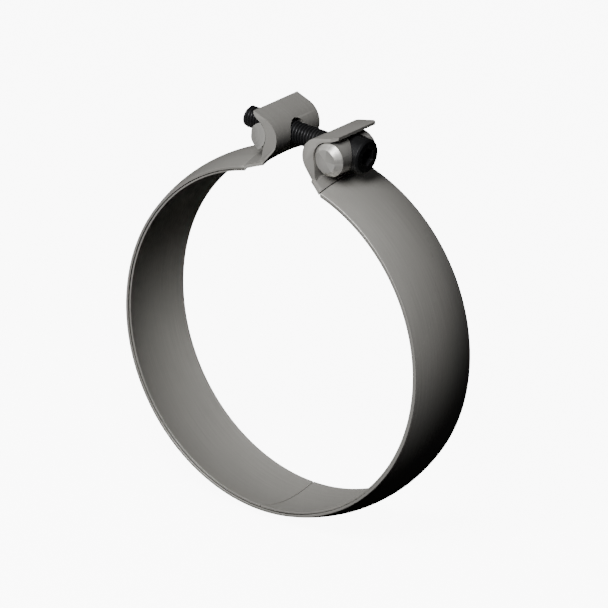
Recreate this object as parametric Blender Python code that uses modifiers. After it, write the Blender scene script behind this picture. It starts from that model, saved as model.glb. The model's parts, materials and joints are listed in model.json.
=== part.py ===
"""Single-bolt crowned-band pipe clamp: band, inner layer, hooks, cross bar, nut, cap screw.

Origin at the centre of the pipe. +Y runs along the pipe, +X along the screw
towards its head, and +Z from the pipe's centre through the gap in the band.
"""
from math import acos, asin, atan2, cos, pi, radians, sin, sqrt, tan

import bmesh
import bpy
from mathutils import Vector

MM = 0.001
FIT_GAP = 0.3 * MM

# Band. Radii are those at its edges, and angles run from the top of the ring down one side.
BAND_RADIUS = 64.7 * MM
STRAP_THICKNESS = 1.0 * MM
BAND_WIDTH = 32.0 * MM
CROWN_HEIGHT = 2.8 * MM
STRAP_END_ANGLE = radians(15.4)
HINGE_DEPTH = 65.6 * MM
LAYER_GAP = 0.33 * MM
INNER_THICKNESS = 0.7 * MM
INNER_WIDTH = 31.0 * MM
SEAM_ANGLE = radians(180.0)

# Screw axis, and the cross bar and nut that it passes through.
AXIS_HEIGHT = 74.0 * MM
BAR_OFFSET = 17.2 * MM
BAR_RADIUS = 6.25 * MM
BAR_NOSE_RADIUS = 4.25 * MM
BAR_SHOULDERS = (-11.85 * MM, 7.3 * MM)
BAR_ENDS = (-14.2 * MM, 9.7 * MM)
SEAT_RADIUS = 6.9 * MM
NUT_HALF_LENGTH = 12.5 * MM
NUT_TIP_HEIGHT = 5.1 * MM
NUT_BACK_RADIUS = 5.3 * MM
NUT_FLAT = 17.3 * MM
NUT_BEVEL = 0.5 * MM

# Hooks.
HOOK_HALF_WIDTH = 12.7 * MM
HOOK_CENTRE = 13.5 * MM
HOOK_RADIUS = 7.7 * MM

# Each hook's centre height, lip angle and lip end.
LEFT_HOOK_FORM = (73.9 * MM, radians(18.0), 16.7 * MM)
RIGHT_HOOK_FORM = (73.3 * MM, radians(15.0), 19.9 * MM)

# Both hooks alike.
LIP_THICKNESS = 1.1 * MM
LIP_CLIP = 2.0 * MM
SEAT_LOW_ANGLE = radians(205.0)
SHIN = (12.0 * MM, 66.1 * MM)
SHIN_ANGLE = radians(12.5)
FOOT_THICKNESS = 1.2 * MM
FOOT_START_ANGLE = radians(9.5)
FOOT_START_WIDTH = 25.9 * MM
HEEL_ANGLE = radians(11.3)
SLOT_HALF_WIDTH = 4.3 * MM
SLOT_TOP = 79.2 * MM
SLOT_BOTTOM = 68.7 * MM

# M8 x 45 socket-head cap screw.
THREAD_RADIUS = 4.0 * MM
THREAD_DEPTH = 0.6 * MM
THREAD_PITCH = 1.25 * MM
SHANK_LENGTH = 45.0 * MM
HEAD_RADIUS = 6.5 * MM
HEAD_HEIGHT = 8.0 * MM
HEAD_CHAMFER = 0.7 * MM
SOCKET_ACROSS_FLATS = 6.0 * MM
SOCKET_DEPTH = 4.0 * MM
TIP_CHAMFER = 0.3 * MM
BORE_RADIUS = THREAD_RADIUS + FIT_GAP

ROUND_STEPS = 40
THREAD_STEPS = 24
ARC_STEP = radians(6.0)
SHEET_STEPS = 44
SHEET_ROWS = 12
FOOT_STEPS = 4
BARREL_ROWS = 12
BARREL_STEPS = 90
SMOOTH_ANGLE = radians(30.0)
EDGE_ANGLE = radians(70.0)
MERGE = 0.00001

# Finishes: base colour and roughness.
SATIN = ((0.47, 0.46, 0.43), 0.35)
INNER_SATIN = ((0.40, 0.39, 0.37), 0.45)
TURNED = ((0.62, 0.61, 0.58), 0.3)
BLACK_OXIDE = ((0.03, 0.03, 0.035), 0.45)


def clear_scene():
    for item in list(bpy.data.objects):
        bpy.data.objects.remove(item, do_unlink=True)


def new_collection(name):
    collection = bpy.data.collections.new(name)
    bpy.context.scene.collection.children.link(collection)
    return collection


def steel(name, finish):
    colour, roughness = finish
    material = bpy.data.materials.new(name)
    material.use_nodes = True
    shader = material.node_tree.nodes["Principled BSDF"]
    shader.inputs["Base Color"].default_value = (*colour, 1.0)
    shader.inputs["Metallic"].default_value = 1.0
    shader.inputs["Roughness"].default_value = roughness
    return material


def add_object(name, mesh, finish=None):
    """A named part with its finish, or a cutter if it has none."""
    item = bpy.data.objects.new(name, mesh)
    if finish is None:
        CUTTERS.objects.link(item)
        item.hide_render = True
        item.display_type = "WIRE"
    else:
        PARTS.objects.link(item)
        mesh.materials.append(steel(name + "_steel", finish))
    return item


def shade_round(item):
    item.data.shade_smooth()
    item.data.set_sharp_from_angle(angle=SMOOTH_ANGLE)


def cut(item, cutter, operation="DIFFERENCE"):
    """Take the cutter's volume away from the item, or join it on."""
    boolean = item.modifiers.new(cutter.name, "BOOLEAN")
    boolean.operation = operation
    boolean.solver = "EXACT"
    boolean.object = cutter


def turned(name, profile, finish=None, steps=ROUND_STEPS):
    """Solid of revolution about local Z from (radius, height) points, top to bottom."""
    mesh = bpy.data.meshes.new(name)
    points = [(radius, 0.0, height) for radius, height in profile]
    edges = [(index, index + 1) for index in range(len(points) - 1)]
    mesh.from_pydata(points, edges, [])
    item = add_object(name, mesh, finish)
    screw = item.modifiers.new("turn", "SCREW")
    screw.axis = "Z"
    screw.steps = steps
    screw.render_steps = steps
    screw.use_merge_vertices = True
    screw.merge_threshold = MERGE
    return item


def flat_solid(name, outline, half_thickness, finish=None):
    """Flat outline in local XY, made solid half_thickness to each side, as a mesh."""
    curve = bpy.data.curves.new(name + "_outline", "CURVE")
    curve.dimensions = "2D"
    curve.fill_mode = "BOTH"
    curve.extrude = half_thickness
    spline = curve.splines.new("POLY")
    spline.points.add(len(outline) - 1)
    for point, (x, y) in zip(spline.points, outline):
        point.co = (x, y, 0.0, 1.0)
    spline.use_cyclic_u = True
    guide = bpy.data.objects.new(name + "_guide", curve)
    PARTS.objects.link(guide)
    depsgraph = bpy.context.evaluated_depsgraph_get()
    mesh = bpy.data.meshes.new_from_object(guide.evaluated_get(depsgraph))
    mesh.name = name
    welded = bmesh.new()
    welded.from_mesh(mesh)
    bmesh.ops.remove_doubles(welded, verts=welded.verts, dist=MERGE)
    welded.to_mesh(mesh)
    welded.free()
    bpy.data.objects.remove(guide, do_unlink=True)
    bpy.data.curves.remove(curve)
    return add_object(name, mesh, finish)


def box_cutter(name, low, high):
    mesh = bpy.data.meshes.new(name)
    box = bmesh.new()
    bmesh.ops.create_cube(box, size=1.0)
    for vertex in box.verts:
        vertex.co = [a + (b - a) * (c + 0.5) for a, b, c in zip(low, high, vertex.co)]
    box.to_mesh(mesh)
    box.free()
    return add_object(name, mesh)


def bore_cutter(name, radius, start, end):
    """Cylinder along X at the screw's height."""
    cutter = turned(name, [(0.0, end), (radius, end), (radius, start), (0.0, start)])
    cutter.rotation_euler = (0.0, pi / 2, 0.0)
    cutter.location = (0.0, 0.0, AXIS_HEIGHT)
    return cutter


def arc(centre, radius, start, end):
    """Points along an arc, both ends included."""
    count = max(2, round(abs(end - start) / ARC_STEP))
    angles = [start + (end - start) * index / count for index in range(count + 1)]
    return [(centre[0] + radius * cos(a), centre[1] + radius * sin(a)) for a in angles]


def on_ring(radius, angle):
    """Point at an angle from the top of the ring, as (x, z)."""
    return (radius * sin(angle), radius * cos(angle))


def crown(across):
    """How far the band's surface stands out beyond its edges, at a distance from mid width."""
    share = across / (BAND_WIDTH / 2)
    return CROWN_HEIGHT * (1.0 - share * share)


def bent_sheet(name, radius, thickness, angles, widths, side, finish=None, steps=SHEET_STEPS):
    """Crowned sheet bent round the pipe from one angle and width to another, on side +1 or -1."""
    sheet = bmesh.new()
    bmesh.ops.create_grid(sheet, x_segments=steps, y_segments=SHEET_ROWS, size=0.5)
    for vertex in sheet.verts:
        along = vertex.co.x + 0.5
        angle = angles[0] + (angles[1] - angles[0]) * along
        across = vertex.co.y * (widths[0] + (widths[1] - widths[0]) * along)
        x, z = on_ring(radius + crown(across), angle)
        vertex.co = (side * x, across, z)
    raised = bmesh.ops.extrude_face_region(sheet, geom=sheet.faces[:])["geom"]
    for vertex in raised:
        if isinstance(vertex, bmesh.types.BMVert):
            vertex.co -= Vector((vertex.co.x, 0.0, vertex.co.z)).normalized() * thickness
    bmesh.ops.recalc_face_normals(sheet, faces=sheet.faces)
    mesh = bpy.data.meshes.new(name)
    sheet.to_mesh(mesh)
    sheet.free()
    item = add_object(name, mesh, finish)
    shade_round(item)
    return item


def build_strap(name, side):
    """Half of the band, from the hook to the seam at the bottom."""
    angles = (STRAP_END_ANGLE, SEAM_ANGLE - FIT_GAP / 2 / BAND_RADIUS)
    return bent_sheet(name, BAND_RADIUS, STRAP_THICKNESS, angles,
                      (BAND_WIDTH, BAND_WIDTH), side, SATIN)


def build_inner_strap(name, side):
    """The layer inside one half of the band."""
    radius = BAND_RADIUS - STRAP_THICKNESS - LAYER_GAP
    angles = (STRAP_END_ANGLE, SEAM_ANGLE - FIT_GAP / 2 / radius)
    return bent_sheet(name, radius, INNER_THICKNESS, angles,
                      (INNER_WIDTH, INNER_WIDTH), side, INNER_SATIN)


def hook_outline(centre_height, lip_angle, lip_end):
    """Section of a hook on the +X side, as (x, z) points.

    From the heel up the gap side on a tangent and an arc, along the straight lip,
    then down the round seat of the bar and the shin.
    """
    inside = BAND_RADIUS - STRAP_THICKNESS
    foot_in = Vector(on_ring(inside, HEEL_ANGLE))
    centre = Vector((HOOK_CENTRE, centre_height))
    to_foot = foot_in - centre
    tangent = atan2(to_foot.y, to_foot.x) - acos(HOOK_RADIUS / to_foot.length)
    if tangent < 0.0:
        tangent += 2 * pi
    lip_turn = pi / 2 + lip_angle
    back = arc(centre, HOOK_RADIUS, tangent, lip_turn)
    lip_start = back[-1]
    lip_top = (lip_end, lip_start[1] + (lip_end - lip_start[0]) * tan(lip_angle))
    lip_under = (lip_end, lip_top[1] - LIP_THICKNESS / cos(lip_angle))
    seat = arc((BAR_OFFSET, AXIS_HEIGHT), BAR_RADIUS + FIT_GAP, lip_turn, SEAT_LOW_ANGLE)
    return [tuple(foot_in), *back, lip_top, lip_under, *seat, SHIN, on_ring(inside, SHIN_ANGLE)]


def slot_cutter(name, side):
    """Slot for the screw through the gap side of a hook, with round ends."""
    radius = SLOT_HALF_WIDTH
    upper = arc((0.0, SLOT_TOP - radius), radius, 0.0, pi)
    lower = arc((0.0, SLOT_BOTTOM + radius), radius, pi, 2 * pi)
    half_length = BAR_OFFSET / 2
    cutter = flat_solid(name, upper + lower, half_length)
    cutter.rotation_euler = (pi / 2, 0.0, pi / 2)
    cutter.location = (side * half_length, 0.0, 0.0)
    return cutter


def clip_cutter(name, side, lip_end, end):
    """Prism that cuts one corner off the lip."""
    reach = LIP_CLIP * 2
    outline = [(side * (lip_end - LIP_CLIP), end * (HOOK_HALF_WIDTH + reach)),
               (side * (lip_end - LIP_CLIP), end * HOOK_HALF_WIDTH),
               (side * lip_end, end * (HOOK_HALF_WIDTH - LIP_CLIP)),
               (side * (lip_end + reach), end * (HOOK_HALF_WIDTH - LIP_CLIP)),
               (side * (lip_end + reach), end * (HOOK_HALF_WIDTH + reach))]
    cutter = flat_solid(name, outline, reach)
    cutter.location = (0.0, 0.0, AXIS_HEIGHT + HOOK_RADIUS)
    return cutter


def foot_sheet(name, side):
    """Crowned foot of a hook, widening down to the band's end, its underside left to trim."""
    inside = BAND_RADIUS - STRAP_THICKNESS
    angles = (FOOT_START_ANGLE, STRAP_END_ANGLE - FIT_GAP / BAND_RADIUS)
    return bent_sheet(name, inside + FOOT_THICKNESS, FOOT_THICKNESS + FIT_GAP, angles,
                      (FOOT_START_WIDTH, BAND_WIDTH), side, steps=FOOT_STEPS)


def barrel_cutter(name):
    """The space inside the crowned band, as a turned barrel along Y."""
    inside = BAND_RADIUS - STRAP_THICKNESS
    half = BAND_WIDTH / 2 + FIT_GAP
    heights = [half - 2 * half * row / BARREL_ROWS for row in range(BARREL_ROWS + 1)]
    profile = [(inside + crown(height), height) for height in heights]
    barrel = turned(name, [(0.0, half), *profile, (0.0, -half)], steps=BARREL_STEPS)
    barrel.rotation_euler = (pi / 2, 0.0, 0.0)
    return barrel


def build_hook(name, side, centre_height, lip_angle, lip_end):
    outline = [(side * x, z) for x, z in hook_outline(centre_height, lip_angle, lip_end)]
    hook = flat_solid(name, outline, HOOK_HALF_WIDTH, SATIN)
    hook.rotation_euler = (pi / 2, 0.0, 0.0)
    cut(hook, foot_sheet(name + "_foot", side), "UNION")
    if lip_end > BAR_OFFSET:
        for end, where in ((-1, "near"), (1, "far")):
            cut(hook, clip_cutter(f"{name}_clip_{where}", side, lip_end, end))
    cut(hook, slot_cutter(name + "_slot", side))
    cut(hook, barrel_cutter(name + "_inside"))
    shade_round(hook)
    return hook


def build_head_trunnion():
    """Round bar along Y with coned ends, bored and counterbored for the screw."""
    (near_end, far_end), (near, far) = BAR_ENDS, BAR_SHOULDERS
    profile = [(0.0, -near_end), (BAR_NOSE_RADIUS, -near_end), (BAR_RADIUS, -near),
               (BAR_RADIUS, -far), (BAR_NOSE_RADIUS, -far_end), (0.0, -far_end)]
    bar = turned("head_trunnion", profile, TURNED)
    bar.rotation_euler = (pi / 2, 0.0, 0.0)
    bar.location = (BAR_OFFSET, 0.0, AXIS_HEIGHT)
    outside = BAR_OFFSET + 2 * BAR_RADIUS
    cut(bar, bore_cutter("head_seat", SEAT_RADIUS, BAR_OFFSET - FIT_GAP / 2, outside))
    cut(bar, bore_cutter("head_bore", BORE_RADIUS, 0.0, outside))
    shade_round(bar)
    return bar


def nut_outline():
    """Section of the nut about its pivot: the round front that seats, and a rounder back."""
    front_turn = asin(NUT_TIP_HEIGHT / BAR_RADIUS)
    back_turn = asin(NUT_TIP_HEIGHT / NUT_BACK_RADIUS)
    tip = BAR_RADIUS * cos(front_turn)
    back_centre = tip + NUT_BACK_RADIUS * cos(back_turn)
    front = arc((0.0, 0.0), BAR_RADIUS, -front_turn, front_turn)
    back = arc((back_centre, 0.0), NUT_BACK_RADIUS, pi - back_turn, pi + back_turn)
    return front + back[1:-1]


def build_nut_trunnion():
    """Half-round nut along Y, its front in the hook's seat."""
    nut = flat_solid("nut_trunnion", nut_outline(), NUT_HALF_LENGTH, TURNED)
    nut.rotation_euler = (pi / 2, 0.0, 0.0)
    nut.location = (-BAR_OFFSET, 0.0, AXIS_HEIGHT)
    bevel = nut.modifiers.new("end_bevel", "BEVEL")
    bevel.width = NUT_BEVEL
    bevel.limit_method = "ANGLE"
    bevel.angle_limit = EDGE_ANGLE
    reach = BAR_RADIUS * 2
    wide = NUT_HALF_LENGTH * 2
    cut(nut, box_cutter("nut_back", (-NUT_FLAT - reach, -wide, AXIS_HEIGHT - reach),
                        (-NUT_FLAT, wide, AXIS_HEIGHT + reach)))
    cut(nut, bore_cutter("nut_bore", BORE_RADIUS, -BAR_OFFSET - reach, 0.0))
    shade_round(nut)
    return nut


def screw_profile():
    """Half section of the screw, from the middle of the head to the tip."""
    root = THREAD_RADIUS - THREAD_DEPTH
    profile = [(0.0, HEAD_HEIGHT), (HEAD_RADIUS - HEAD_CHAMFER, HEAD_HEIGHT),
               (HEAD_RADIUS, HEAD_HEIGHT - HEAD_CHAMFER), (HEAD_RADIUS, 0.0), (root, 0.0)]
    turns = round(SHANK_LENGTH / THREAD_PITCH) - 1
    for turn in range(turns):
        top = -THREAD_PITCH * (turn + 0.5)
        profile.append((root, top))
        profile.append((THREAD_RADIUS, top - THREAD_PITCH / 2))
    profile += [(root, -SHANK_LENGTH + THREAD_PITCH / 2),
                (THREAD_RADIUS, -SHANK_LENGTH + TIP_CHAMFER),
                (THREAD_RADIUS - TIP_CHAMFER, -SHANK_LENGTH), (0.0, -SHANK_LENGTH)]
    return profile


def build_cap_screw():
    screw = turned("cap_screw", screw_profile(), BLACK_OXIDE, THREAD_STEPS)
    screw.rotation_euler = (0.0, pi / 2, 0.0)
    screw.location = (BAR_OFFSET + FIT_GAP / 2, 0.0, AXIS_HEIGHT)
    corner = SOCKET_ACROSS_FLATS / sqrt(3.0)
    flats = [(corner * cos(pi / 3 * side), corner * sin(pi / 3 * side)) for side in range(6)]
    socket = flat_solid("hexagon_socket", flats, SOCKET_DEPTH)
    socket.rotation_euler = (0.0, pi / 2, 0.0)
    socket.location = (screw.location.x + HEAD_HEIGHT, 0.0, AXIS_HEIGHT)
    cut(screw, socket)
    shade_round(screw)
    return screw


def hang_on_hinge(*items):
    """Put parts under an empty on the hinge at the bottom of the ring, where they stand."""
    hinge = bpy.data.objects.new("band_flex_hinge", None)
    PARTS.objects.link(hinge)
    hinge.location = (0.0, 0.0, -HINGE_DEPTH)
    for item in items:
        item.parent = hinge
        item.location.z += HINGE_DEPTH


clear_scene()
PARTS = new_collection("pipe_repair_clamp")
CUTTERS = new_collection("cutters")
build_strap("left_strap", -1)
right_strap = build_strap("right_strap", 1)
build_inner_strap("left_inner_strap", -1)
right_inner_strap = build_inner_strap("right_inner_strap", 1)
build_hook("left_hook", -1, *LEFT_HOOK_FORM)
right_hook = build_hook("right_hook", 1, *RIGHT_HOOK_FORM)
hang_on_hinge(right_strap, right_inner_strap, right_hook)
build_head_trunnion()
build_nut_trunnion()
build_cap_screw()
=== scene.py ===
"""Looks of the single-bolt band clamp: satin crowned band, hooks, bar and nut, black screw."""
import json
from math import acos, asin, atan2, cos, floor, pi, radians, sin, sqrt, tan

import bmesh
import bpy
from mathutils import Matrix, Vector


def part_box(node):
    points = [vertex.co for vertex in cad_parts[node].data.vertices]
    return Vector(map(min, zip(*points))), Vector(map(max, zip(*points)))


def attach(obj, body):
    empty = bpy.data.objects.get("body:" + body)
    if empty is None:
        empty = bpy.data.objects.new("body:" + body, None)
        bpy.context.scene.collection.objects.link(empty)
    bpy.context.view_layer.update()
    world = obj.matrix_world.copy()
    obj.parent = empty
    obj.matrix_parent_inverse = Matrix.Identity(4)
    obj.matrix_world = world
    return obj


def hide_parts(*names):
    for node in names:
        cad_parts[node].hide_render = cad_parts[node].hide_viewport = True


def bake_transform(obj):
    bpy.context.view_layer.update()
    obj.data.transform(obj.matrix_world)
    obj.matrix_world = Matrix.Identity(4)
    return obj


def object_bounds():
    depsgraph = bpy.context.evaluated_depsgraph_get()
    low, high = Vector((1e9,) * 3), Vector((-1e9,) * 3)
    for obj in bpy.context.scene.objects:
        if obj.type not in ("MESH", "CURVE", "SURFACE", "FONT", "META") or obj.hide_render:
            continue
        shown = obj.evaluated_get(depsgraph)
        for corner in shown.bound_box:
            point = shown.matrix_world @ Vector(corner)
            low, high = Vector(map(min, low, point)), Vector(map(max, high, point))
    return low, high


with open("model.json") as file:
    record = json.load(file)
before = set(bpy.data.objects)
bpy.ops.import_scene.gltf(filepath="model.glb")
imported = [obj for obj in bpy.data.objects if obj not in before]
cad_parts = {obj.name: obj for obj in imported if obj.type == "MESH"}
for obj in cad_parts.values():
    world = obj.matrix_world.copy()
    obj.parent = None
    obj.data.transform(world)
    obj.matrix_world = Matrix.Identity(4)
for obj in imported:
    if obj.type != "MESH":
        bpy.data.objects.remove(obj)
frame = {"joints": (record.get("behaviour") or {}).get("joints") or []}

CAD_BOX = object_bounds()
MM = 0.001
JOINTS = {joint["name"]: Vector(joint["pos_m"]) for joint in frame["joints"]}

# How far each piece stays inside its CAD part, and how far the band stands out at mid width.
INSET = 0.01 * MM
CROWN_HEIGHT = 2.8 * MM

# Sizes read from the frame.
RIGHT_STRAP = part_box("right_strap")
BAND_RADIUS = RIGHT_STRAP[1].x - INSET - CROWN_HEIGHT
BAND_HALF_WIDTH = RIGHT_STRAP[1].y - INSET
AXIS_HEIGHT = JOINTS["head_bar_pivot"].z
BAR_OFFSET = JOINTS["head_bar_pivot"].x
BAR_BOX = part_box("head_trunnion")
BAR_RADIUS = (BAR_BOX[1].z - BAR_BOX[0].z) / 2 - INSET
NUT_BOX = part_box("nut_trunnion")
HEAD_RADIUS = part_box("cap_screw")[1].y - INSET
SCREW_ENDS = (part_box("cap_screw")[0].x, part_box("cap_screw")[1].x)

# Sheet metal. Radii are those at the band's edges, and angles run from the top of the ring.
FIT_GAP = 0.3 * MM
LAYER_GAP = 0.33 * MM
STRAP_THICKNESS = 1.0 * MM
STRAP_END_ANGLE = radians(15.4)
INNER_THICKNESS = 0.7 * MM
INNER_HALF_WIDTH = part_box("left_inner_strap")[1].y - INSET
SEAM_ANGLE = radians(180.0)

# Hooks. Each form is the centre height, the lip's angle and the lip's end.
HOOK_HALF_WIDTH = 12.7 * MM
HOOK_CENTRE = 13.5 * MM
HOOK_RADIUS = 7.7 * MM
HOOK_FORMS = {"left_hook": (73.9 * MM, radians(18.0), 16.7 * MM - INSET),
              "right_hook": (73.3 * MM, radians(15.0), 19.9 * MM - INSET)}
LIP_THICKNESS = 1.1 * MM
LIP_CLIP = 2.0 * MM
SEAT_LOW_ANGLE = radians(205.0)
SHIN = (12.0 * MM, 66.1 * MM)
SHIN_ANGLE = radians(12.5)
FOOT_THICKNESS = 1.2 * MM
FOOT_START_ANGLE = radians(9.5)
FOOT_START_HALF_WIDTH = 12.95 * MM
HEEL_ANGLE = radians(11.3)
SLOT_HALF_WIDTH = 4.3 * MM
SLOT_HEIGHTS = (68.7 * MM, 79.2 * MM)

# Cross bar and nut.
BAR_NOSE_RADIUS = 4.25 * MM
BAR_SHOULDERS = (-11.85 * MM, 7.3 * MM)
SEAT_RADIUS = 6.9 * MM
NUT_TIP_HEIGHT = 5.1 * MM
NUT_BACK_RADIUS = 5.3 * MM
NUT_BEVEL = 0.45 * MM

# Screw.
THREAD_RADIUS = 4.0 * MM
THREAD_DEPTH = 0.62 * MM
THREAD_PITCH = 1.25 * MM
THREAD_SLOPE = 1.35  # rise and drop of a flank, as shares of the depth
THREAD_DROP = 0.15
TIP_CHAMFER = 0.3 * MM
HEAD_HEIGHT = 8.0 * MM
HEAD_CHAMFER = 0.7 * MM
SOCKET_ACROSS_FLATS = 6.0 * MM
SOCKET_DEPTH = 4.0 * MM
BORE_RADIUS = THREAD_RADIUS + FIT_GAP

# Camera: parallel view of the ring from the right and above.
CAMERA_AZIMUTH = radians(37.4)
CAMERA_ELEVATION = radians(19.9)
CLAMP_TILT = radians(4.5)
VIEW_WIDTH = 215.5 * MM
AIM_RIGHT = 2.1 * MM
AIM_UP = 9.1 * MM
CAMERA_DISTANCE = 0.8

# Light.
KEY_DIRECTION = (0.1, -0.67, 0.73)
KEY_POWER = 12.0
SKY_FADE = (-0.6, 1.0, 0.012, 1.1)
FLOOR_GLOW = 9.0
FLOOR_SIZE = 6.0
KEY_DISTANCE = 0.9
KEY_SIZE = 0.5

# Finishes. An end lift is painted light: how much brighter the faces at the ends of a piece are made
# than its sides, as if the key light fell on them.
BAND_STEEL = (0.47, 0.46, 0.43)
# The hook and bar steels are darker copies of the band's steel: painted shade on their tops and sides.
HOOK_STEEL_PAINTED_SHADE = (0.36, 0.352, 0.33)
BAR_STEEL_PAINTED_SHADE = (0.37, 0.364, 0.345)
SCREW_BLACK = (0.014, 0.014, 0.015)
SHEET_ROUGHNESS = 0.42
BAR_ROUGHNESS = 0.34
SCREW_ROUGHNESS = 0.5
HOOK_END_PAINTED_LIGHT = 1.35
BAR_END_PAINTED_LIGHT = 1.65
BAND_GRAIN = (35.0, 2600.0, 1.0)
HOOK_GRAIN = (40.0, 40.0, 2600.0)

MERGE = 0.00001
ROUND_STEPS = 96
BARREL_STEPS = 180
BARREL_ROWS = 32
FINE_STEP = radians(2.5)
SMOOTH_ANGLE = radians(32.0)


# ---------------------------------------------------------------- mesh tools

def finished(mesh, name):
    """A bmesh made into an object, faces outward."""
    bmesh.ops.remove_doubles(mesh, verts=mesh.verts, dist=MERGE)
    bmesh.ops.recalc_face_normals(mesh, faces=mesh.faces)
    data = bpy.data.meshes.new(name)
    mesh.to_mesh(data)
    mesh.free()
    item = bpy.data.objects.new(name, data)
    bpy.context.scene.collection.objects.link(item)
    return item


def apply_modifiers(item):
    depsgraph = bpy.context.evaluated_depsgraph_get()
    item.data = bpy.data.meshes.new_from_object(item.evaluated_get(depsgraph))
    item.modifiers.clear()


def cut(item, cutter, operation="DIFFERENCE"):
    """Take the cutter's volume away from the item, or join it on."""
    boolean = item.modifiers.new("cut", "BOOLEAN")
    boolean.operation = operation
    boolean.solver = "EXACT"
    boolean.object = cutter
    apply_modifiers(item)
    bpy.data.objects.remove(cutter, do_unlink=True)


def soften(item, width, segments=2):
    """Small round on every sharp edge, and smooth shading between."""
    bevel = item.modifiers.new("edge", "BEVEL")
    bevel.width = width
    bevel.segments = segments
    bevel.limit_method = "ANGLE"
    bevel.angle_limit = SMOOTH_ANGLE
    bevel.harden_normals = True
    item.data.shade_smooth()
    item.data.set_sharp_from_angle(angle=SMOOTH_ANGLE)


def arc(centre, radius, start, end):
    count = max(2, round(abs(end - start) / FINE_STEP))
    angles = [start + (end - start) * index / count for index in range(count + 1)]
    return [(centre[0] + radius * cos(a), centre[1] + radius * sin(a)) for a in angles]


def turned(name, profile, steps=ROUND_STEPS):
    """Solid of revolution about Z from (radius, height) points, its ends on the axis."""
    mesh = bmesh.new()
    rings = []
    for radius, height in profile:
        if radius == 0.0:
            rings.append([mesh.verts.new((0.0, 0.0, height))] * steps)
        else:
            angles = [2 * pi * step / steps for step in range(steps)]
            rings.append([mesh.verts.new((radius * cos(a), radius * sin(a), height)) for a in angles])
    join_rings(mesh, rings)
    return finished(mesh, name)


def join_rings(mesh, rings):
    """Faces between neighbouring rings, triangles where a ring is a single point."""
    for upper, lower in zip(rings, rings[1:]):
        for index in range(len(upper)):
            after = (index + 1) % len(upper)
            corners = [upper[index], upper[after], lower[after], lower[index]]
            mesh.faces.new(list(dict.fromkeys(corners)))


def extruded(name, outline, half_depth):
    """Outline in local XY made solid, half_depth to each side."""
    mesh = bmesh.new()
    face = mesh.faces.new([mesh.verts.new((x, y, -half_depth)) for x, y in outline])
    raised = bmesh.ops.extrude_face_region(mesh, geom=[face])["geom"]
    corners = [part for part in raised if isinstance(part, bmesh.types.BMVert)]
    bmesh.ops.translate(mesh, verts=corners, vec=(0.0, 0.0, 2 * half_depth))
    return finished(mesh, name)


def place(item, rotation=(0.0, 0.0, 0.0), location=(0.0, 0.0, 0.0)):
    item.rotation_euler = rotation
    item.location = location
    bpy.context.view_layer.update()
    return item


def drill_cutter(radius, start, end):
    """Cutter for a round hole along X at the screw's height."""
    drill = turned("drill", [(0.0, end), (radius, end), (radius, start), (0.0, start)])
    return place(drill, (0.0, pi / 2, 0.0), (0.0, 0.0, AXIS_HEIGHT))


# ---------------------------------------------------------------- materials

class Shader:
    """A Principled material with a short way to add and link nodes."""

    def __init__(self, name, colour, metallic, roughness):
        self.material = bpy.data.materials.new(name)
        self.material.use_nodes = True
        self.nodes = self.material.node_tree.nodes
        self.surface = self.nodes["Principled BSDF"]
        self.colour = colour
        self.roughness = roughness
        self.surface.inputs["Metallic"].default_value = metallic

    def add(self, kind, values=None, **settings):
        node = self.nodes.new(kind)
        for key, value in settings.items():
            setattr(node, key, value)
        for key, value in (values or {}).items():
            node.inputs[key].default_value = value
        return node

    def link(self, source, target):
        self.material.node_tree.links.new(source, target)

    def coordinates(self, output, scale):
        source = self.add("ShaderNodeTexCoord")
        mapping = self.add("ShaderNodeMapping", {"Scale": scale})
        self.link(source.outputs[output], mapping.inputs["Vector"])
        return mapping.outputs["Vector"]

    def noise(self, vector, scale, detail=4.0):
        node = self.add("ShaderNodeTexNoise", {"Scale": scale, "Detail": detail})
        self.link(vector, node.inputs["Vector"])
        return node.outputs["Fac"]

    def spread(self, factor, low, high, start=0.3, end=0.7):
        """A factor stretched from start..end to low..high."""
        node = self.add("ShaderNodeMapRange", {"From Min": start, "From Max": end,
                                               "To Min": low, "To Max": high})
        self.link(factor, node.inputs["Value"])
        return node.outputs["Result"]

    def tint(self, factor, dark, light, source=None):
        """Colour between dark and light shares of the base colour, or of a source colour."""
        mix = self.add("ShaderNodeMix", data_type="RGBA")
        for socket, share in zip((6, 7), (dark, light)):
            mix.inputs[socket].default_value = (*[channel * share for channel in self.colour], 1.0)
        if source is not None:
            self.link(source, mix.inputs[6])
        self.link(factor, mix.inputs[0])
        return mix.outputs[2]

    def worn_edges(self, colour, lift):
        """Convex edges rubbed lighter."""
        shape = self.add("ShaderNodeNewGeometry")
        rubbed = self.spread(shape.outputs["Pointiness"], 0.0, 1.0, 0.52, 0.6)
        return self.tint(rubbed, 1.0, lift, colour)

    def paint_end_light(self, colour, lift):
        """Painted light: faces towards the ends of the local Z axis made brighter, as if the key light
        fell on them.
        """
        source = self.add("ShaderNodeTexCoord")
        split = self.add("ShaderNodeSeparateXYZ")
        facing = self.add("ShaderNodeMath", operation="ABSOLUTE")
        self.link(source.outputs["Normal"], split.inputs[0])
        self.link(split.outputs["Z"], facing.inputs[0])
        mix = self.add("ShaderNodeMix", data_type="RGBA", blend_type="MULTIPLY")
        mix.inputs[7].default_value = (lift, lift, lift, 1.0)
        self.link(self.spread(facing.outputs[0], 0.0, 1.0, 0.4, 0.62), mix.inputs[0])
        self.link(colour, mix.inputs[6])
        return mix.outputs[2]

    def bump(self, height, distance, strength=1.0):
        node = self.add("ShaderNodeBump", {"Distance": distance, "Strength": strength})
        self.link(height, node.inputs["Height"])
        self.link(node.outputs["Normal"], self.surface.inputs["Normal"])

    def finish(self, colour, roughness):
        self.link(colour, self.surface.inputs["Base Color"])
        self.link(roughness, self.surface.inputs["Roughness"])
        return self.material


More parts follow.
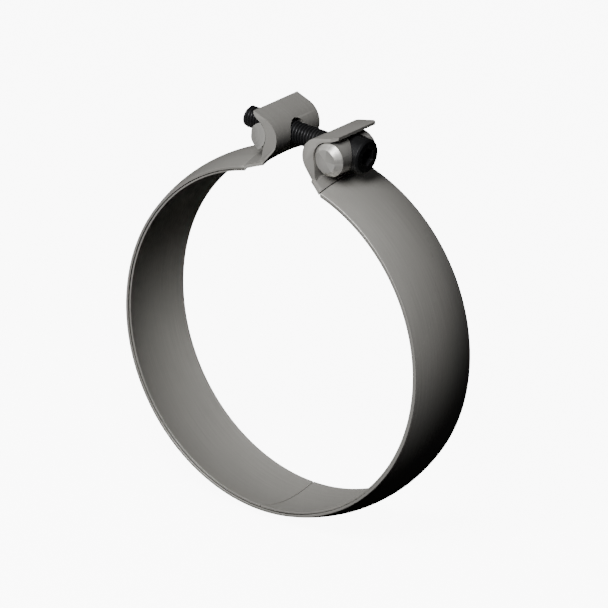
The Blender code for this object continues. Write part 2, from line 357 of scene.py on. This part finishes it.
def rolled_steel(name, colour, roughness, output, grain_scale, end_painted_light=1.0):
    """Satin sheet: fine streaks along the strip, faint clouds, rubbed edges, and painted light
    brightening the faces at its ends when that light is above one.
    """
    shader = Shader(name, colour, 0.5, roughness)
    grain = shader.noise(shader.coordinates(output, grain_scale), 1.0, 3.0)
    clouds = shader.noise(shader.coordinates(output, (1.0, 1.0, 1.0)), 55.0)
    streaked = shader.tint(shader.spread(grain, 0.0, 1.0), 0.93, 1.06)
    clouded = shader.tint(shader.spread(clouds, 0.0, 0.18), 1.0, 0.8, streaked)
    shader.bump(grain, 0.02 * MM, 0.5)
    worn = shader.worn_edges(clouded, 1.35)
    # painted light: the faces at the ends of the piece are made brighter
    return shader.finish(shader.paint_end_light(worn, end_painted_light) if end_painted_light > 1.0 else worn,
                         shader.spread(grain, roughness - 0.05, roughness + 0.07))


def turned_steel(name, colour, roughness, end_painted_light):
    """Machined bar: fine rings round the local Z axis on its side and its ends."""
    shader = Shader(name, colour, 0.6, roughness)
    source = shader.add("ShaderNodeTexCoord")
    split = shader.add("ShaderNodeSeparateXYZ")
    shader.link(source.outputs["Object"], split.inputs[0])
    flat = shader.add("ShaderNodeCombineXYZ")
    shader.link(split.outputs["X"], flat.inputs["X"])
    shader.link(split.outputs["Y"], flat.inputs["Y"])
    length = shader.add("ShaderNodeVectorMath", operation="LENGTH")
    shader.link(flat.outputs[0], length.inputs[0])
    rings = shader.add("ShaderNodeCombineXYZ")
    shader.link(length.outputs["Value"], rings.inputs["X"])
    shader.link(split.outputs["Z"], rings.inputs["Y"])
    lathe = shader.noise(rings.outputs[0], 2600.0, 2.0)
    stain = shader.noise(source.outputs["Object"], 300.0)
    colour_out = shader.tint(shader.spread(lathe, 0.0, 1.0), 0.9, 1.06)
    stained = shader.tint(shader.spread(stain, 0.0, 0.2), 1.0, 0.75, colour_out)
    shader.bump(lathe, 0.015 * MM, 0.6)
    # painted light: the faces at the ends of the bar are made brighter
    return shader.finish(shader.paint_end_light(shader.worn_edges(stained, 1.3), end_painted_light),
                         shader.spread(lathe, roughness - 0.06, roughness + 0.08))


def black_oxide(name, colour, roughness):
    """Blackened screw: mottled oil-black with steel showing on its edges."""
    shader = Shader(name, colour, 0.7, roughness)
    vector = shader.coordinates("Object", (1.0, 1.0, 1.0))
    mottle = shader.noise(vector, 700.0)
    patches = shader.noise(vector, 120.0)
    base = shader.tint(shader.spread(mottle, 0.0, 1.0), 0.7, 1.5)
    blotched = shader.tint(shader.spread(patches, 0.0, 0.5), 1.0, 1.9, base)
    shader.bump(mottle, 0.02 * MM, 0.4)
    return shader.finish(shader.worn_edges(blotched, 4.5),
                         shader.spread(patches, roughness - 0.08, roughness + 0.1))


# ------------------------------------------------------------------- pieces

def on_ring(radius, angle):
    """Point at an angle from the top of the ring, as (x, z)."""
    return (radius * sin(angle), radius * cos(angle))


def crown(across):
    """How far the band's surface stands out beyond its edges, at a distance from mid width."""
    share = across / BAND_HALF_WIDTH
    return CROWN_HEIGHT * (1.0 - share * share)


def bent_sheet(name, radius, thickness, angles, half_widths, side, columns, rows):
    """Crowned sheet bent round the pipe from one angle and half width to another."""
    sheet = bmesh.new()
    bmesh.ops.create_grid(sheet, x_segments=columns, y_segments=rows, size=0.5)
    uv_layer = sheet.loops.layers.uv.new("sheet")
    places = {}
    for vertex in sheet.verts:
        along = vertex.co.x + 0.5
        angle = angles[0] + (angles[1] - angles[0]) * along
        reach = half_widths[0] + (half_widths[1] - half_widths[0]) * along
        across = vertex.co.y * 2 * reach
        x, z = on_ring(radius + crown(across), angle)
        vertex.co = (side * x, across, z)
        places[vertex] = (radius * angle, across)
    for face in sheet.faces:
        for loop in face.loops:
            loop[uv_layer].uv = places[loop.vert]
    raised = bmesh.ops.extrude_face_region(sheet, geom=sheet.faces[:])["geom"]
    for vertex in raised:
        if isinstance(vertex, bmesh.types.BMVert):
            vertex.co -= Vector((vertex.co.x, 0.0, vertex.co.z)).normalized() * thickness
    return finished(sheet, name)


def flex(item):
    """Bakes the piece's placing into its mesh."""
    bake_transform(item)


def build_band(material):
    """Both straps as the one strip they are."""
    band = bent_sheet("band", BAND_RADIUS, STRAP_THICKNESS,
                      (STRAP_END_ANGLE, 2 * pi - STRAP_END_ANGLE),
                      (BAND_HALF_WIDTH, BAND_HALF_WIDTH), 1, 220, 32)
    band.data.materials.append(material)
    soften(band, 0.18 * MM)
    flex(band)
    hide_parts("left_strap", "right_strap")


def build_inner_layer(node, side, material):
    """The layer inside one half of the band, its end at the seam."""
    radius = BAND_RADIUS - STRAP_THICKNESS - LAYER_GAP
    angles = (STRAP_END_ANGLE, SEAM_ANGLE - FIT_GAP / 2 / radius)
    layer = bent_sheet(node + "_layer", radius, INNER_THICKNESS, angles,
                       (INNER_HALF_WIDTH, INNER_HALF_WIDTH), side, 130, 32)
    layer.data.materials.append(material)
    soften(layer, 0.12 * MM)
    flex(layer)
    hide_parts(node)


def hook_outline(centre_height, lip_angle, lip_end):
    """Section of a hook on the +X side: heel, gap side, lip, seat of the bar, shin."""
    inside = BAND_RADIUS - STRAP_THICKNESS
    centre = Vector((HOOK_CENTRE, centre_height))
    foot_in = Vector(on_ring(inside, HEEL_ANGLE))
    to_foot = foot_in - centre
    tangent = atan2(to_foot.y, to_foot.x) - acos(HOOK_RADIUS / to_foot.length)
    if tangent < 0.0:
        tangent += 2 * pi
    lip_turn = pi / 2 + lip_angle
    back = arc(centre, HOOK_RADIUS, tangent, lip_turn)
    lip_top = (lip_end, back[-1][1] + (lip_end - back[-1][0]) * tan(lip_angle))
    lip_under = (lip_end, lip_top[1] - LIP_THICKNESS / cos(lip_angle))
    seat = arc((BAR_OFFSET, AXIS_HEIGHT), BAR_RADIUS + FIT_GAP, lip_turn, SEAT_LOW_ANGLE)
    return [tuple(foot_in), *back, lip_top, lip_under, *seat, SHIN, on_ring(inside, SHIN_ANGLE)]


def slot_cutter(side):
    """Slot with round ends through the gap side of a hook."""
    radius = SLOT_HALF_WIDTH
    upper = arc((0.0, SLOT_HEIGHTS[1] - radius), radius, 0.0, pi)
    lower = arc((0.0, SLOT_HEIGHTS[0] + radius), radius, pi, 2 * pi)
    half_length = BAR_OFFSET / 2
    slot = extruded("slot", upper + lower[1:-1], half_length)
    return place(slot, (pi / 2, 0.0, pi / 2), (side * half_length, 0.0, 0.0))


def clip_cutter(side, lip_end, end):
    """Wedge that takes one corner off the lip."""
    reach = LIP_CLIP * 2
    near, far = side * (lip_end - LIP_CLIP), side * (lip_end + reach)
    edge, inner, outer = [end * (HOOK_HALF_WIDTH + step) for step in (0.0, -LIP_CLIP, reach)]
    wedge = extruded("wedge", [(near, outer), (near, edge), (side * lip_end, inner),
                               (far, inner), (far, outer)], reach)
    return place(wedge, location=(0.0, 0.0, AXIS_HEIGHT + HOOK_RADIUS))


def foot_sheet(side):
    """Crowned foot of a hook, widening down to the band's end, its underside left to trim."""
    inside = BAND_RADIUS - STRAP_THICKNESS
    angles = (FOOT_START_ANGLE, STRAP_END_ANGLE - FIT_GAP / BAND_RADIUS)
    return bent_sheet("foot", inside + FOOT_THICKNESS, FOOT_THICKNESS + FIT_GAP, angles,
                      (FOOT_START_HALF_WIDTH, BAND_HALF_WIDTH), side, 8, 32)


def barrel_cutter():
    """The space inside the crowned band, as a turned barrel along Y."""
    inside = BAND_RADIUS - STRAP_THICKNESS
    half = BAND_HALF_WIDTH + FIT_GAP
    heights = [half - 2 * half * row / BARREL_ROWS for row in range(BARREL_ROWS + 1)]
    profile = [(inside + crown(height), height) for height in heights]
    barrel = turned("barrel", [(0.0, half), *profile, (0.0, -half)], BARREL_STEPS)
    return place(barrel, (pi / 2, 0.0, 0.0))


def build_hook(node, side, material):
    centre_height, lip_angle, lip_end = HOOK_FORMS[node]
    section = hook_outline(centre_height, lip_angle, lip_end)
    outline = [(side * x, z) for x, z in section]
    hook = place(extruded(node + "_formed", outline, HOOK_HALF_WIDTH), (pi / 2, 0.0, 0.0))
    cut(hook, foot_sheet(side), "UNION")
    if lip_end > BAR_OFFSET:
        for end in (-1, 1):
            cut(hook, clip_cutter(side, lip_end, end))
    cut(hook, slot_cutter(side))
    cut(hook, barrel_cutter())
    hook.data.materials.append(material)
    soften(hook, 0.2 * MM)
    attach(hook, "left_half" if side < 0 else "right_half")
    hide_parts(node)


def build_head_bar(material):
    """Round bar along Y with coned ends, bored and counterbored for the screw."""
    near_end, far_end = BAR_BOX[0].y + INSET, BAR_BOX[1].y - INSET
    near, far = BAR_SHOULDERS
    profile = [(0.0, -near_end), (BAR_NOSE_RADIUS, -near_end), (BAR_RADIUS, -near),
               (BAR_RADIUS, -far), (BAR_NOSE_RADIUS, -far_end), (0.0, -far_end)]
    bar = place(turned("head_bar", profile), (pi / 2, 0.0, 0.0), (BAR_OFFSET, 0.0, AXIS_HEIGHT))
    outside = BAR_OFFSET + 2 * BAR_RADIUS
    cut(bar, drill_cutter(SEAT_RADIUS, BAR_OFFSET - FIT_GAP / 2, outside))
    cut(bar, drill_cutter(BORE_RADIUS, 0.0, outside))
    bar.data.materials.append(material)
    soften(bar, 0.15 * MM)
    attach(bar, "head_bar")
    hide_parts("head_trunnion")


def nut_outline():
    """Section of the nut about its pivot: the round front that seats, and a rounder back."""
    front_turn = asin(NUT_TIP_HEIGHT / BAR_RADIUS)
    back_turn = asin(NUT_TIP_HEIGHT / NUT_BACK_RADIUS)
    back_centre = BAR_RADIUS * cos(front_turn) + NUT_BACK_RADIUS * cos(back_turn)
    front = arc((0.0, 0.0), BAR_RADIUS, -front_turn, front_turn)
    back = arc((back_centre, 0.0), NUT_BACK_RADIUS, pi - back_turn, pi + back_turn)
    flat = NUT_BOX[0].x + INSET + BAR_OFFSET
    return front + [(max(x, flat), y) for x, y in back[1:-1]]


def build_nut(material):
    """Half-round nut along Y, its front in the hook's seat."""
    nut = extruded("half_round_nut", nut_outline(), NUT_BOX[1].y - INSET)
    place(nut, (pi / 2, 0.0, 0.0), (-BAR_OFFSET, 0.0, AXIS_HEIGHT))
    cut(nut, drill_cutter(BORE_RADIUS, -BAR_OFFSET - 2 * BAR_RADIUS, 0.0))
    nut.data.materials.append(material)
    soften(nut, NUT_BEVEL, 3)
    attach(nut, "nut")
    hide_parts("nut_trunnion")


def thread_radius(turn_share):
    """Radius of the thread at a share of one turn: flat crest and root, straight flanks."""
    rise = abs(2 * turn_share - 1) * THREAD_SLOPE - THREAD_DROP
    return THREAD_RADIUS - THREAD_DEPTH * (1.0 - min(1.0, max(0.0, rise)))


def build_threaded_shank(length):
    """Right-handed helical thread down -Z from the origin, its tip tapered."""
    steps, per_pitch = 48, 8
    mesh = bmesh.new()
    rings = [[mesh.verts.new((0.0, 0.0, 0.0))] * steps]
    rows = round(length / THREAD_PITCH * per_pitch)
    for row in range(rows + 1):
        height = -length * row / rows
        taper = max(0.0, TIP_CHAMFER - (length + height))
        ring = []
        for step in range(steps):
            angle = 2 * pi * step / steps
            phase = height / THREAD_PITCH - angle / (2 * pi)
            radius = min(thread_radius(phase - floor(phase)), THREAD_RADIUS - taper)
            ring.append(mesh.verts.new((radius * cos(angle), radius * sin(angle), height)))
        rings.append(ring)
    rings.append([mesh.verts.new((0.0, 0.0, -length))] * steps)
    join_rings(mesh, rings)
    return finished(mesh, "screw_thread")


def build_screw(material):
    """Head with its hexagon socket, and the threaded shank that rides with it."""
    head_base = SCREW_ENDS[1] - HEAD_HEIGHT
    upright = (0.0, pi / 2, 0.0)
    profile = [(0.0, HEAD_HEIGHT - INSET), (HEAD_RADIUS - HEAD_CHAMFER, HEAD_HEIGHT - INSET),
               (HEAD_RADIUS, HEAD_HEIGHT - HEAD_CHAMFER), (HEAD_RADIUS, 0.0), (0.0, 0.0)]
    head = place(turned("screw_head", profile), upright, (head_base, 0.0, AXIS_HEIGHT))
    corner = SOCKET_ACROSS_FLATS / sqrt(3.0)
    flats = [(corner * cos(pi / 3 * side), corner * sin(pi / 3 * side)) for side in range(6)]
    socket = extruded("socket", flats, SOCKET_DEPTH)
    cut(head, place(socket, upright, (head_base + HEAD_HEIGHT, 0.0, AXIS_HEIGHT)))
    head.data.materials.append(material)
    soften(head, 0.2 * MM, 3)
    shank = build_threaded_shank(head_base - SCREW_ENDS[0] - INSET)
    place(shank, upright, (head_base, 0.0, AXIS_HEIGHT))
    shank.data.materials.append(material)
    shank.data.shade_smooth()
    shank.data.set_sharp_from_angle(angle=SMOOTH_ANGLE)
    for piece in (head, shank):
        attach(piece, "screw")
    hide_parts("cap_screw")


# -------------------------------------------------------------------- stage

def build_floor():
    """Plain pale floor under the ring. It doesn't light the clamp from below."""
    mesh = bmesh.new()
    bmesh.ops.create_grid(mesh, x_segments=1, y_segments=1, size=FLOOR_SIZE)
    ground = finished(mesh, "floor")
    ground.location.z = CAD_BOX[0].z
    ground.visible_diffuse = False
    ground.visible_glossy = False
    paper = bpy.data.materials.new("floor_paper")
    paper.use_nodes = True
    surface = paper.node_tree.nodes["Principled BSDF"]
    surface.inputs["Base Color"].default_value = (0.8, 0.8, 0.8, 1.0)
    surface.inputs["Roughness"].default_value = 0.9
    surface.inputs["Emission Color"].default_value = (1.0, 1.0, 1.0, 1.0)
    surface.inputs["Emission Strength"].default_value = FLOOR_GLOW
    ground.data.materials.append(paper)


def area_light(name, direction, distance, size, power):
    data = bpy.data.lights.new(name, "AREA")
    data.shape = "DISK"
    data.size = size
    data.energy = power
    lamp = bpy.data.objects.new(name, data)
    bpy.context.scene.collection.objects.link(lamp)
    towards = Vector(direction).normalized()
    lamp.location = towards * distance
    lamp.rotation_mode = "QUATERNION"
    lamp.rotation_quaternion = towards.to_track_quat("Z", "Y")


def build_sky():
    """White studio ceiling that falls off to a dark room below the horizon."""
    world = bpy.data.worlds.new("studio")
    world.use_nodes = True
    nodes, links = world.node_tree.nodes, world.node_tree.links
    source = nodes.new("ShaderNodeTexCoord")
    split = nodes.new("ShaderNodeSeparateXYZ")
    fade = nodes.new("ShaderNodeMapRange")
    fade.interpolation_type = "SMOOTHSTEP"
    for socket, value in zip(("From Min", "From Max", "To Min", "To Max"), SKY_FADE):
        fade.inputs[socket].default_value = value
    links.new(source.outputs["Generated"], split.inputs[0])
    links.new(split.outputs["Z"], fade.inputs["Value"])
    links.new(fade.outputs["Result"], nodes["Background"].inputs["Strength"])
    bpy.context.scene.world = world


def build_lights():
    area_light("key", KEY_DIRECTION, KEY_DISTANCE, KEY_SIZE, KEY_POWER)
    build_sky()


def build_camera():
    """Parallel camera, turned with the clamp's tilt so that the ring leans as it should."""
    a, e = CAMERA_AZIMUTH, CAMERA_ELEVATION
    right = Vector((cos(a), sin(a), 0.0))
    up = Vector((-sin(a) * sin(e), cos(a) * sin(e), cos(e)))
    back = right.cross(up)
    level = Matrix((right, up, back)).transposed()
    turn = Matrix.Rotation(-CLAMP_TILT, 3, "Y") @ level
    data = bpy.data.cameras.new("camera")
    data.type = "ORTHO"
    data.ortho_scale = VIEW_WIDTH
    data.clip_start = 0.01
    data.clip_end = 20.0
    camera = bpy.data.objects.new("camera", data)
    bpy.context.scene.collection.objects.link(camera)
    aim = turn @ Vector((AIM_RIGHT, AIM_UP, CAMERA_DISTANCE))
    camera.matrix_world = Matrix.Translation(aim) @ turn.to_4x4()
    bpy.context.scene.camera = camera


sheet_steel = rolled_steel("band_steel", BAND_STEEL, SHEET_ROUGHNESS, "UV", BAND_GRAIN)
hook_steel_painted_shade_and_light = rolled_steel("hook_steel_painted_shade_and_light", HOOK_STEEL_PAINTED_SHADE, SHEET_ROUGHNESS, "Object", HOOK_GRAIN, HOOK_END_PAINTED_LIGHT)
bar_steel_painted_shade_and_light = turned_steel("bar_steel_painted_shade_and_light", BAR_STEEL_PAINTED_SHADE, BAR_ROUGHNESS, BAR_END_PAINTED_LIGHT)
screw_black = black_oxide("screw_black", SCREW_BLACK, SCREW_ROUGHNESS)
build_band(sheet_steel)
build_inner_layer("left_inner_strap", -1, sheet_steel)
build_inner_layer("right_inner_strap", 1, sheet_steel)
build_hook("left_hook", -1, hook_steel_painted_shade_and_light)
build_hook("right_hook", 1, hook_steel_painted_shade_and_light)
build_nut(bar_steel_painted_shade_and_light)
build_head_bar(bar_steel_painted_shade_and_light)
build_screw(screw_black)
build_floor()
build_lights()
build_camera()
